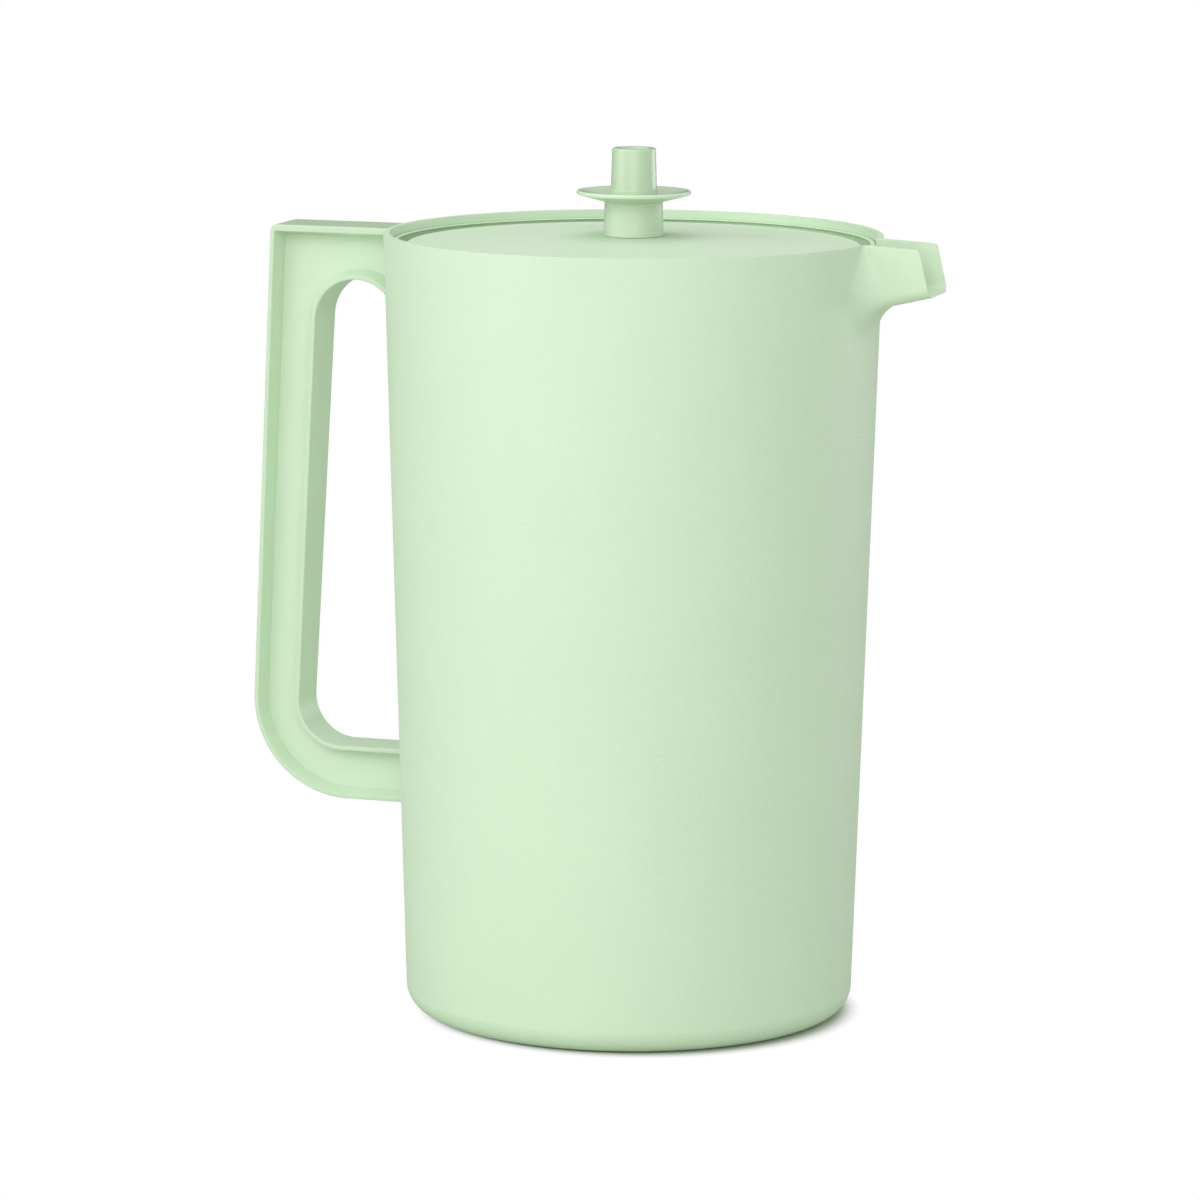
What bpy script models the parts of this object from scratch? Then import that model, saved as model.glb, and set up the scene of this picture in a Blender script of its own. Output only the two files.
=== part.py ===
# Pitcher with a push-button lid, in metres, +Z up.
# The origin is the centre of the base, on the cup's axis. The spout points along +X and the handle along -X.
import math

import bmesh
import bpy
from mathutils import Vector

# Cup
rim_height = 0.2500
rim_radius = 0.0791
base_radius = 0.0715
base_fillet = 0.0080
wall_thickness = 0.0020
rim_rounding = 0.0007
cup_columns = 80
base_fillet_steps = 4

# Spout, an open trough that leaves the wall at the rim
spout_half_width = 0.0115
spout_top_length = 0.0172
spout_lip_length = 0.0205
spout_lip_drop = 0.0163
spout_top_drop = 0.0009
spout_floor_rise_share = 0.28
spout_corner_radius = 0.0035
spout_fillet_at_rim = 0.0010
spout_fillet_at_floor = 0.0090
spout_lip_wall_share = 0.7
spout_window_margin = 0.0050
spout_side_steps = 6
spout_blend_steps = 2
spout_fillet_steps = 4

# Handle, an I-section that bends round the hand
handle_top_drop = 0.0005
handle_height = 0.1867
handle_length = 0.0402
handle_spread_share = 0.0445
handle_outer_corner = 0.0320
handle_top_corner = 0.0012
handle_half_width_top = 0.00965
handle_half_width_bottom = 0.0078
handle_grip_depth_top = 0.0171
handle_grip_depth_bottom = 0.0152
handle_arm_depth = 0.0174
handle_inner_corner = 0.0140
handle_arch_radius = 0.0137
handle_crown_drop = 0.0174
handle_arch_turn = math.radians(147)
handle_flange_edge = 0.0016
handle_flange_draft = 0.0010
handle_web = 0.0026
handle_root_depth = 0.0012
handle_overrun = 0.0120
handle_outer_steps = 8
handle_inner_steps = 5
handle_arch_steps = 9

# Lid cover, a low cone with a plug skirt
lid_rim_drop = 0.0034
lid_cone_rise = 0.0026
lid_thickness = 0.0019
lid_edge_rounding = 0.0015
skirt_gap = 0.0004
skirt_depth = 0.0278
skirt_wall = 0.0015
skirt_lip_rounding = 0.0005
diaphragm_seat_drop = 0.0106
diaphragm_seat_step = 0.0008
snap_bead = 0.0005

# Finger grip, a tube with a dished flange, let into the cover
running_gap = 0.0003
grip_foot_radius = 0.0095
grip_neck_radius = 0.0092
grip_hub_rise = 0.0108
grip_flange_radius = 0.0181
grip_flange_sweep = 0.0024
grip_flange_edge = 0.0013
grip_dish_rise = 0.0013
grip_tail_wall = 0.0008
grip_snap_height = 0.0021

# Push button, a hollow cap on a stem
button_cap_height = 0.0130
button_step_rise = 0.0027
button_top_radius = 0.0069
button_step_radius = 0.00727
button_shaft_radius = 0.0075
button_rounding = 0.0006
button_dish_radius = 0.0048
button_dish_depth = 0.0010
button_wall = 0.0015
button_crown = 0.0016
button_stop_width = 0.0013
button_stop_height = 0.0014
stem_radius = 0.0036
pin_radius = 0.0024
barb_width = 0.0008
barb_height = 0.0030
barb_tip_radius = 0.0012

# Diaphragm, the flexible disc across the skirt
diaphragm_rim_height = 0.0016
diaphragm_rim_width = 0.0018
diaphragm_web = 0.0010
diaphragm_fall = 0.0080
diaphragm_wave = 0.0012
diaphragm_boss_radius = 0.0060
diaphragm_boss_height = 0.0032
diaphragm_wave_shares = (0.0, 0.16, 0.30, 0.44, 0.60, 1.0)
diaphragm_lift_shares = (0.0, 0.0, 1.0, 1.0, 0.0, 0.0)

# Mesh
lid_segments = 72
small_segments = 48
rounding_steps = 3
merge_distance = 0.000002

# Sizes that follow from those above
taper_slope = (rim_radius - base_radius) / rim_height
taper_angle = math.atan(taper_slope)
spout_top_reach = rim_radius + spout_top_length
spout_lip_reach = rim_radius + spout_lip_length
spout_lip_height = rim_height - spout_lip_drop
spout_foot_height = spout_lip_height - spout_floor_rise_share * spout_lip_length - spout_fillet_at_floor
window_foot = spout_foot_height - spout_window_margin
window_spread = (spout_half_width + spout_fillet_at_floor) / (base_radius + spout_fillet_at_floor)
column_angle = math.tau / cup_columns
window_columns = math.ceil(math.asin(window_spread) / column_angle) + 1
handle_top = rim_height - handle_top_drop
handle_bottom = handle_top - handle_height
lid_edge_height = rim_height - lid_rim_drop
lid_hub_height = lid_edge_height + lid_cone_rise
skirt_foot = lid_edge_height - skirt_depth
seat_height = lid_edge_height - diaphragm_seat_drop
grip_flange_height = lid_hub_height + grip_hub_rise
grip_dish_height = grip_flange_height + grip_dish_rise
grip_hole_radius = button_shaft_radius + running_gap
grip_tail_radius = grip_hole_radius + grip_tail_wall
grip_snap_top = lid_hub_height - lid_thickness - running_gap
grip_tail_foot = grip_snap_top - grip_snap_height
cover_hole_radius = grip_tail_radius + running_gap
button_step_height = grip_dish_height + button_step_rise
button_top_height = button_step_height + button_cap_height
diaphragm_top = seat_height - running_gap
diaphragm_boss_top = diaphragm_top - diaphragm_fall + (diaphragm_boss_height - diaphragm_rim_height) / 2
diaphragm_boss_foot = diaphragm_boss_top - diaphragm_boss_height


def wall_radius(z):
    return base_radius + taper_slope * z


def bore_radius(z):
    return wall_radius(z) - wall_thickness


def arc(centre, radius, start, end, steps):
    points = []
    for step in range(steps + 1):
        angle = start + (end - start) * step / steps
        points.append((centre[0] + radius * math.cos(angle), centre[1] + radius * math.sin(angle)))
    return points


def blend(low, high, share):
    return low + (high - low) * share


def plastic(name, color, roughness):
    material = bpy.data.materials.new(name)
    material.use_nodes = True
    shader = material.node_tree.nodes["Principled BSDF"]
    shader.inputs["Base Color"].default_value = (*color, 1)
    shader.inputs["Roughness"].default_value = roughness
    shader.inputs["Metallic"].default_value = 0
    return material


def make_object(name, bm, material):
    mesh = bpy.data.meshes.new(name)
    bm.to_mesh(mesh)
    bm.free()
    mesh.shade_smooth()
    mesh.set_sharp_from_angle(angle=math.radians(35))
    mesh.materials.append(material)
    piece = bpy.data.objects.new(name, mesh)
    bpy.context.scene.collection.objects.link(piece)
    return piece


def add_path(bm, points, closed=False):
    verts = [bm.verts.new(point) for point in points]
    pairs = list(zip(verts, verts[1:]))
    if closed:
        pairs.append((verts[-1], verts[0]))
    return verts, [bm.edges.new(pair) for pair in pairs]


def spin_profile(bm, profile, steps, closed):
    verts, edges = add_path(bm, [(r, 0, z) for r, z in profile], closed)
    bmesh.ops.spin(bm, geom=verts + edges, cent=(0, 0, 0), axis=(0, 0, 1),
                   angle=math.tau, steps=steps, use_merge=True)
    bmesh.ops.remove_doubles(bm, verts=bm.verts, dist=merge_distance)


def turned_piece(name, profile, steps, closed, material):
    bm = bmesh.new()
    spin_profile(bm, profile, steps, closed)
    bmesh.ops.recalc_face_normals(bm, faces=bm.faces)
    return make_object(name, bm, material)


# Cup and spout: one sheet, thickened inwards

def spout_point(turn, reach):
    # turn is (y, share of the way down the side, drop into the corner); the floor climbs towards the lip
    y, side_share, corner_drop = turn
    top = rim_height - spout_top_drop * (reach - rim_radius) / spout_top_length
    floor = spout_lip_height - spout_floor_rise_share * (spout_lip_reach - reach)
    z = blend(top, floor + spout_corner_radius, side_share) - corner_drop
    return Vector((reach, y, z))


def spout_section():
    # half of the trough's section from its top edge to its middle: turn, outward direction, fillet to the wall
    section = []
    for step in range(spout_side_steps + 1):
        share = step / spout_side_steps
        eased = math.sin(share * math.pi / 2)
        fillet = blend(spout_fillet_at_rim, spout_fillet_at_floor, eased)
        section.append(((spout_half_width, share, 0), Vector((0, 1, 0)), fillet))
    flat_half = spout_half_width - spout_corner_radius
    corner_steps = window_columns - 1
    for step in range(1, corner_steps + 1):
        angle = math.pi / 2 * step / corner_steps
        y = flat_half + spout_corner_radius * math.cos(angle)
        drop = spout_corner_radius * math.sin(angle)
        section.append(((y, 1, drop), Vector((0, math.cos(angle), -math.sin(angle))), spout_fillet_at_floor))
    section.append(((0, 1, spout_corner_radius), Vector((0, 0, -1)), spout_fillet_at_floor))
    return section


def spout_fillet_points(turn, facing, fillet):
    # the arc that is tangent to the trough's straight line and to the tapered wall
    reach = rim_radius
    along = (spout_point(turn, spout_lip_reach) - spout_point(turn, rim_radius)).normalized()
    normal = (facing - along * facing.dot(along)).normalized()
    for _ in range(30):
        centre = spout_point(turn, reach) + normal * fillet
        gap = math.hypot(centre.x, centre.y) - wall_radius(centre.z)
        reach += fillet / math.cos(taper_angle) - gap
    centre = spout_point(turn, reach) + normal * fillet
    out = Vector((centre.x, centre.y, 0)).normalized() * math.cos(taper_angle)
    wall_normal = out - Vector((0, 0, math.sin(taper_angle)))
    points = []
    for step in range(spout_fillet_steps + 1):
        way = (-wall_normal).slerp(-normal, step / spout_fillet_steps)
        points.append(centre + way * fillet)
    return points


def wall_point(angle, z):
    radius = wall_radius(z)
    return Vector((radius * math.cos(angle), radius * math.sin(angle), z))


def spout_mouth_point(turn):
    # the mouth leans outwards from the trough's top edge to its lip
    top = rim_height - spout_top_drop
    drop = top - spout_point(turn, spout_top_reach).z
    return spout_point(turn, blend(spout_top_reach, spout_lip_reach, drop / (top - spout_lip_height)))


def spout_columns():
    # one line of points for each step round the trough, from the window in the wall to the mouth
    columns = []
    for index, (turn, facing, fillet) in enumerate(spout_section()):
        past_side = max(0, index - spout_side_steps)
        angle = (window_columns - past_side) * column_angle
        z = blend(rim_height, window_foot, min(1, index / spout_side_steps))
        curve = spout_fillet_points(turn, facing, fillet)
        foot_angle = math.atan2(curve[0].y, curve[0].x)
        shares = [step / spout_blend_steps for step in range(spout_blend_steps)]
        points = [wall_point(blend(angle, foot_angle, share), blend(z, curve[0].z, share)) for share in shares]
        columns.append(points + curve + [spout_mouth_point(turn)])
    mirrored = [[Vector((p.x, -p.y, p.z)) for p in column] for column in reversed(columns[:-1])]
    return columns + mirrored


def cup_profile():
    centre = base_radius + taper_slope * base_fillet - base_fillet / math.cos(taper_angle)
    profile = [(0, 0)]
    profile += arc((centre, base_fillet), base_fillet, -math.pi / 2, -taper_angle, base_fillet_steps)
    for step in range(spout_side_steps + 1):
        z = blend(window_foot, rim_height, step / spout_side_steps)
        profile.append((wall_radius(z), z))
    return profile


def in_window(face):
    centre = face.calc_center_median()
    angle = abs(math.atan2(centre.y, centre.x))
    return angle < window_columns * column_angle and centre.z > window_foot


def cup_sheet(material):
    bm = bmesh.new()
    spin_profile(bm, cup_profile(), cup_columns, False)
    bmesh.ops.delete(bm, geom=[face for face in bm.faces if in_window(face)], context="FACES")
    rows = list(zip(*spout_columns()))
    edges = add_path(bm, rows[0])[1]
    for row in rows[1:]:
        verts, next_edges = add_path(bm, row)
        bmesh.ops.bridge_loops(bm, edges=edges + next_edges)
        edges = next_edges
    mouth = [vert.co.copy() for vert in verts]
    bmesh.ops.remove_doubles(bm, verts=bm.verts, dist=merge_distance)
    bmesh.ops.recalc_face_normals(bm, faces=bm.faces)
    floor = min(bm.faces, key=lambda face: face.calc_center_median().z)
    if floor.normal.z > 0:
        bmesh.ops.reverse_faces(bm, faces=bm.faces)
    sheet = make_object("pitcher_body", bm, material)
    full = sheet.vertex_groups.new(name="full wall")
    for vert in sheet.data.vertices:
        at_mouth = min((vert.co - point).length for point in mouth) < merge_distance
        full.add([vert.index], 0 if at_mouth else 1, "REPLACE")
    solid = sheet.modifiers.new("wall", "SOLIDIFY")
    solid.thickness = wall_thickness
    solid.offset = -1
    solid.use_even_offset = True
    solid.use_quality_normals = True
    solid.vertex_group = "full wall"
    solid.thickness_vertex_group = spout_lip_wall_share
    rounding = sheet.modifiers.new("rim rounding", "BEVEL")
    rounding.limit_method = "ANGLE"
    rounding.angle_limit = math.radians(50)
    rounding.width = rim_rounding
    rounding.segments = 2
    return sheet


# Handle

def grip_front(z):
    return rim_radius + handle_length + handle_spread_share * (handle_top - z)


def grip_back(z):
    share = (handle_top - z) / handle_height
    return grip_front(z) - blend(handle_grip_depth_top, handle_grip_depth_bottom, share)


def handle_bend(line, radius, centre_z, start, end, steps):
    # an arc of the handle's outline that is tangent to the leaning line
    lean = math.atan(handle_spread_share)
    return arc((line(centre_z) - radius / math.cos(lean), centre_z), radius, start, end, steps)


def handle_outline():
    # points are (distance out from the axis, z), once round the C that the handle makes
    deep = base_radius - handle_overrun
    lean = math.atan(handle_spread_share)
    down = -math.pi / 2
    arm_top = handle_bottom + handle_arm_depth
    arch_centre = rim_height - handle_crown_drop - handle_arch_radius
    points = [(deep, handle_top), (grip_front(handle_top), handle_top)]
    points += handle_bend(grip_front, handle_outer_corner, handle_bottom + handle_outer_corner,
                          lean, down, handle_outer_steps)
    points += [(deep, handle_bottom), (deep, arm_top)]
    points += handle_bend(grip_back, handle_inner_corner, arm_top + handle_inner_corner,
                          down, lean, handle_inner_steps)
    points += handle_bend(grip_back, handle_arch_radius, arch_centre,
                          lean, handle_arch_turn, handle_arch_steps)
    points.append((deep, points[-1][1]))
    return points


def handle_guide():
    bm = bmesh.new()
    half = handle_half_width_top
    verts = add_path(bm, [(-reach, -half, z) for reach, z in handle_outline()], True)[0]
    corner = verts[1].co.copy()
    side = bm.faces.new(verts)
    grown = bmesh.ops.extrude_face_region(bm, geom=[side])["geom"]
    far = [item for item in grown if isinstance(item, bmesh.types.BMVert)]
    bmesh.ops.translate(bm, verts=far, vec=(0, half * 2, 0))
    bmesh.ops.recalc_face_normals(bm, faces=bm.faces)
    for face in [face for face in bm.faces if abs(face.normal.y) > math.cos(taper_angle)]:
        bmesh.ops.inset_region(bm, faces=[face], thickness=handle_flange_edge, use_even_offset=True)
        bmesh.ops.inset_region(bm, faces=[face], thickness=handle_flange_draft,
                               depth=handle_web / 2 - half, use_even_offset=True)
    at_corner = {vert for vert in bm.verts
                 if math.dist((vert.co.x, vert.co.z), (corner.x, corner.z)) < merge_distance}
    rounded = [edge for edge in bm.edges if set(edge.verts) <= at_corner]
    bmesh.ops.bevel(bm, geom=rounded, offset=handle_top_corner, segments=rounding_steps,
                    profile=0.5, affect="EDGES")
    cut_radius = base_radius - handle_root_depth
    facing = Vector((math.cos(taper_angle), 0, math.sin(taper_angle)))
    geometry = bm.verts[:] + bm.edges[:] + bm.faces[:]
    bmesh.ops.bisect_plane(bm, geom=geometry, plane_co=(-cut_radius, 0, 0), plane_no=facing, clear_outer=True)
    bmesh.ops.holes_fill(bm, edges=[edge for edge in bm.edges if edge.is_boundary])
    for vert in bm.verts:
        share = (handle_top - vert.co.z) / handle_height
        vert.co.y *= blend(1, handle_half_width_bottom / handle_half_width_top, share)
    bmesh.ops.recalc_face_normals(bm, faces=bm.faces)
    return bm


def pitcher_body(material):
    body = cup_sheet(material)
    guide = make_object("handle_guide", handle_guide(), material)
    guide.hide_render = True
    guide.display_type = "WIRE"
    join = body.modifiers.new("handle", "BOOLEAN")
    join.operation = "UNION"
    join.solver = "EXACT"
    join.object = guide
    return body


# Lid

def skirt_outside(z):
    return bore_radius(z) - skirt_gap


def skirt_inside(z):
    return skirt_outside(z) - skirt_wall


def lid_cover(material):
    round_height = lid_edge_height - lid_edge_rounding
    round_centre = skirt_outside(round_height) - lid_edge_rounding
    top_slope = lid_cone_rise / (round_centre - cover_hole_radius)
    profile = [(cover_hole_radius, lid_hub_height)]
    profile += arc((round_centre, round_height), lid_edge_rounding,
                   math.pi / 2 - top_slope, 0, rounding_steps)
    lip = skirt_foot + skirt_lip_rounding
    profile += [(skirt_outside(lip), lip),
                (skirt_outside(lip) - skirt_lip_rounding, skirt_foot),
                (skirt_inside(lip) + skirt_lip_rounding, skirt_foot),
                (skirt_inside(lip), lip)]
    bead_top = diaphragm_top - diaphragm_rim_height - running_gap
    bead_middle = bead_top - snap_bead
    bead_foot = bead_middle - snap_bead
    under_edge = lid_edge_height - lid_thickness
    profile += [(skirt_inside(bead_foot), bead_foot),
                (skirt_inside(bead_middle) - snap_bead, bead_middle),
                (skirt_inside(bead_top), bead_top),
                (skirt_inside(seat_height), seat_height),
                (skirt_inside(seat_height) - diaphragm_seat_step, seat_height),
                (skirt_inside(under_edge) - diaphragm_seat_step, under_edge),
                (cover_hole_radius, lid_hub_height - lid_thickness)]
    return turned_piece("lid_cover", profile, lid_segments, True, material)


def finger_grip(material):
    edge_round = grip_flange_edge / 2
    edge_centre = (grip_flange_radius - edge_round, grip_flange_height + grip_flange_sweep + edge_round)
    shoulder = lid_hub_height + running_gap
    profile = [(grip_hole_radius, grip_tail_foot),
               (grip_tail_radius, grip_tail_foot),
               (grip_foot_radius, blend(grip_tail_foot, grip_snap_top, 0.5)),
               (grip_foot_radius, grip_snap_top),
               (grip_tail_radius, grip_snap_top),
               (grip_tail_radius, shoulder),
               (grip_foot_radius, shoulder),
               (grip_neck_radius, grip_flange_height)]
    profile += arc(edge_centre, edge_round, -math.pi / 2, math.pi / 2, rounding_steps + 1)
    profile.append((grip_hole_radius, grip_dish_height))
    return turned_piece("finger_grip", profile, small_segments, True, material)


def push_button(material):
    stop_top = grip_tail_foot - running_gap
    stop_foot = stop_top - button_stop_height
    stop_radius = button_shaft_radius + button_stop_width
    barb_top = diaphragm_boss_foot - running_gap
    pin_top = diaphragm_boss_top + running_gap
    hollow_radius = button_shaft_radius - button_wall
    dish_floor = button_top_height - button_dish_depth
    hollow_top = dish_floor - button_crown
    profile = [(0, barb_top - barb_height),
               (barb_tip_radius, barb_top - barb_height),
               (pin_radius + barb_width, barb_top),
               (pin_radius, barb_top),
               (pin_radius, pin_top),
               (stem_radius, pin_top),
               (stem_radius, hollow_top),
               (hollow_radius, hollow_top),
               (hollow_radius, stop_foot),
               (stop_radius, stop_foot),
               (stop_radius, stop_top),
               (button_shaft_radius, stop_top),
               (button_shaft_radius, button_step_height),
               (button_step_radius, button_step_height)]
    round_centre = (button_top_radius - button_rounding, button_top_height - button_rounding)
    profile += arc(round_centre, button_rounding, 0, math.pi / 2, rounding_steps)
    profile += [(button_dish_radius, button_top_height),
                (button_dish_radius - button_rounding, dish_floor),
                (0, dish_floor)]
    return turned_piece("push_button", profile, small_segments, False, material)


def lid_diaphragm(material):
    outer = skirt_inside(seat_height) - running_gap
    rim_foot = diaphragm_top - diaphragm_rim_height
    rim_inner = outer - diaphragm_rim_width
    rim_middle = (diaphragm_top + rim_foot) / 2
    hole = pin_radius + running_gap
    web = []
    for share, lift in zip(diaphragm_wave_shares, diaphragm_lift_shares):
        radius = blend(rim_inner, diaphragm_boss_radius, share)
        web.append((radius, rim_middle - diaphragm_fall * share + diaphragm_wave * lift))
    profile = [(outer, rim_foot), (outer, diaphragm_top), (rim_inner, diaphragm_top)]
    profile += [(r, z + diaphragm_web / 2) for r, z in web]
    profile += [(diaphragm_boss_radius, diaphragm_boss_top),
                (hole, diaphragm_boss_top),
                (hole, diaphragm_boss_foot),
                (diaphragm_boss_radius, diaphragm_boss_foot)]
    profile += [(r, z - diaphragm_web / 2) for r, z in reversed(web)]
    profile.append((rim_inner, rim_foot))
    return turned_piece("lid_diaphragm", profile, small_segments, True, material)


def clear_scene():
    for old in list(bpy.data.objects):
        bpy.data.objects.remove(old, do_unlink=True)


def make_pitcher():
    clear_scene()
    body_plastic = plastic("body plastic", (0.64, 0.82, 0.59), 0.45)
    lid_plastic = plastic("lid plastic", (0.61, 0.80, 0.57), 0.50)
    button_plastic = plastic("button plastic", (0.58, 0.78, 0.53), 0.30)
    seal_plastic = plastic("seal plastic", (0.66, 0.84, 0.62), 0.40)
    pitcher_body(body_plastic)
    lid_lift = bpy.data.objects.new("lid lift axis", None)
    lid_lift.location = (0, 0, lid_edge_height)
    press_axis = bpy.data.objects.new("button press axis", None)
    press_axis.location = (0, 0, button_top_height)
    for axis in (lid_lift, press_axis):
        bpy.context.scene.collection.objects.link(axis)
    carried = [(lid_cover(lid_plastic), lid_lift), (finger_grip(lid_plastic), lid_lift),
               (lid_diaphragm(seal_plastic), lid_lift), (push_button(button_plastic), press_axis),
               (press_axis, lid_lift)]
    bpy.context.view_layer.update()
    for child, parent in carried:
        child.parent = parent
        child.matrix_parent_inverse = parent.matrix_world.inverted()


make_pitcher()
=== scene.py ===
import math

import bmesh
import bpy
from mathutils import Matrix, Vector


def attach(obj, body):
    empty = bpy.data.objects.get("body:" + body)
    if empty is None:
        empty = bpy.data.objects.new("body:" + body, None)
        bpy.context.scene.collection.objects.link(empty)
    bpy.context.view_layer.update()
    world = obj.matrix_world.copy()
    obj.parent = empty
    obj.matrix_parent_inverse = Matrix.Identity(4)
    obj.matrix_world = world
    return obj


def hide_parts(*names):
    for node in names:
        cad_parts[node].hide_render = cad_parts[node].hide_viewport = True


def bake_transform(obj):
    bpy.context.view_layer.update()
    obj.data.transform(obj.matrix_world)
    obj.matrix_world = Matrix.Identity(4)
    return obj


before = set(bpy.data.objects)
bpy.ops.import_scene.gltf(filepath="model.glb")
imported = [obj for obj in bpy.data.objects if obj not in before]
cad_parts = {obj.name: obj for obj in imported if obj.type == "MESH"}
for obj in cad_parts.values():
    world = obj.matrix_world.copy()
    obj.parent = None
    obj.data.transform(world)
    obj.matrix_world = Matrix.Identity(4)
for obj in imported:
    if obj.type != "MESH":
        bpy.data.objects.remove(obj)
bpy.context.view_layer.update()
print("frame loaded:", ", ".join(sorted(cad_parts)))


# Small helpers

weld = 0.000002               # points nearer than this are one point
arcShare = 0.49               # an arc takes less than half of each line that it joins


def mix(low, high, share):
    return low + (high - low) * share


def arcPoints(centre, radius, start, end, steps):
    angles = [mix(start, end, step / steps) for step in range(steps + 1)]
    return [(centre[0] + radius * math.cos(a), centre[1] + radius * math.sin(a)) for a in angles]


def addLine(bm, points, closed=False):
    verts = [bm.verts.new(point) for point in points]
    pairs = list(zip(verts, verts[1:]))
    if closed:
        pairs.append((verts[-1], verts[0]))
    return verts, [bm.edges.new(pair) for pair in pairs]


def roundedProfile(corners, closed, steps):
    # corners are (distance from the axis, height, radius); each radius becomes an arc
    line = []
    for index, (r, z, radius) in enumerate(corners):
        here = Vector((r, z))
        if radius == 0 or (not closed and index in (0, len(corners) - 1)):
            line.append(here)
            continue
        back = Vector(corners[index - 1][:2]) - here
        ahead = Vector(corners[(index + 1) % len(corners)][:2]) - here
        half = back.angle(ahead) / 2
        reach = min(radius / math.tan(half), back.length * arcShare, ahead.length * arcShare)
        back.normalize()
        ahead.normalize()
        centre = here + (back + ahead).normalized() * reach / math.cos(half)
        for step in range(steps + 1):
            way = (here + back * reach - centre).slerp(here + ahead * reach - centre, step / steps)
            line.append(centre + way * reach * math.tan(half))
    return line


def turn(profile, steps, closed):
    # spins a profile once round Z and closes its seam and poles
    bm = bmesh.new()
    verts, edges = addLine(bm, [(point[0], 0, point[1]) for point in profile], closed)
    bmesh.ops.spin(bm, geom=verts + edges, cent=(0, 0, 0), axis=(0, 0, 1), angle=math.tau,
                   steps=steps, use_merge=True)
    bmesh.ops.remove_doubles(bm, verts=bm.verts, dist=weld)
    bmesh.ops.recalc_face_normals(bm, faces=bm.faces)
    return bm


def addObject(name, data):
    thing = bpy.data.objects.new(name, data)
    bpy.context.scene.collection.objects.link(thing)
    return thing


def addMesh(name, bm, materials):
    mesh = bpy.data.meshes.new(name)
    bm.to_mesh(mesh)
    bm.free()
    for material in materials:
        mesh.materials.append(material)
    return addObject(name, mesh)


def makePiece(name, bm, materials, body, replaced):
    piece = addMesh(name, bm, materials)
    piece.data.shade_smooth()
    if body:
        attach(piece, body)
    if replaced:
        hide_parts(replaced)
    print("made", name)
    return piece


normalWeight = 80             # how far the wide faces win over the narrow ones


def evenNormals(piece):
    # wide faces keep their own direction and the rounding between them turns the light
    weighted = piece.modifiers.new("even normals", "WEIGHTED_NORMAL")
    weighted.keep_sharp = True
    weighted.weight = normalWeight


# Plastics: one mint in slightly different shades, with the grain that each mould face leaves on it; the
# darker handle top, handle edges and flange are painted shade, and the lighter flange rim is a painted
# highlight

mint = {
    "wall": (0.647, 0.816, 0.605),
    "inside": (0.625, 0.785, 0.580),
    "handle": (0.650, 0.797, 0.610),
    # the handle's flange edges are darker than the rest of the handle: painted shade
    "handleEdge": (0.590, 0.735, 0.548),
    # the handle's top plate is darker than the rest of the handle: painted shade
    "handleTop": (0.515, 0.703, 0.468),
    "lid": (0.650, 0.815, 0.598),
    "hub": (0.578, 0.708, 0.534),
    # the flange is darker than the other pieces, on its top, its underside and the button's dish: painted
    # shade
    "flange": (0.510, 0.655, 0.470),
    "button": (0.540, 0.697, 0.491),
}
roughness = {
    "wall": 0.46,
    "inside": 0.30,
    "handle": 0.34,
    "handleEdge": 0.36,
    "handleTop": 0.29,
    "lid": 0.60,
    "hub": 0.38,
    "flange": 0.22,
    "button": 0.30,
    "seal": 0.42,
}
mirror = {                    # how strongly a plastic mirrors
    "usual": 0.5,
    "lid": 0.35,
    "hub": 1,
    "button": 1,
}
# each layer of grain is (kind, cells per metre, height in metres, strength)
grain = {
    "wall": [("pebble", 1150, 0.00016, 0.45), ("fine", 3200, 0.00005, 0.30)],
    "inside": [("fine", 900, 0.00002, 0.10)],
    "handle": [("fine", 700, 0.00002, 0.08), ("fine", 4200, 0.00002, 0.15)],
    "lid": [("fine", 2400, 0.00009, 0.60), ("pebble", 900, 0.00005, 0.30)],
    "hub": [("fine", 2400, 0.00012, 1.0), ("pebble", 900, 0.00005, 0.30)],
    "flange": [("fine", 1500, 0.00002, 0.12)],
    "button": [("fine", 900, 0.00001, 0.04)],
    "seal": [("fine", 1200, 0.00003, 0.30)],
}
finish = {
    "refraction": 1.49,
    "colorCells": 22,         # the colour drifts over a few centimetres
    "colorDetail": 3,
    "colorShift": 0.012,
    "sheenCells": 160,        # and the roughness over a few millimetres
    "sheenDetail": 5,
    "sheenShift": 0.05,
    "grainDetail": 2,
    "noiseLow": 0.3,          # nearly all of a noise lies between these two
    "noiseHigh": 0.7,
}


def setInputs(node, values):
    for socket, value in values.items():
        node.inputs[socket].default_value = value


def addNoise(nodes, links, where, scale, detail):
    noise = nodes.new("ShaderNodeTexNoise")
    setInputs(noise, {"Scale": scale, "Detail": detail})
    links.new(where, noise.inputs["Vector"])
    return noise.outputs["Fac"]


def addRange(nodes, links, value, source, target, smooth=True):
    ramp = nodes.new("ShaderNodeMapRange")
    ramp.interpolation_type = "SMOOTHSTEP" if smooth else "LINEAR"
    setInputs(ramp, dict(zip(("From Min", "From Max", "To Min", "To Max"), source + target)))
    links.new(value, ramp.inputs["Value"])
    return ramp.outputs["Result"]


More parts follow.
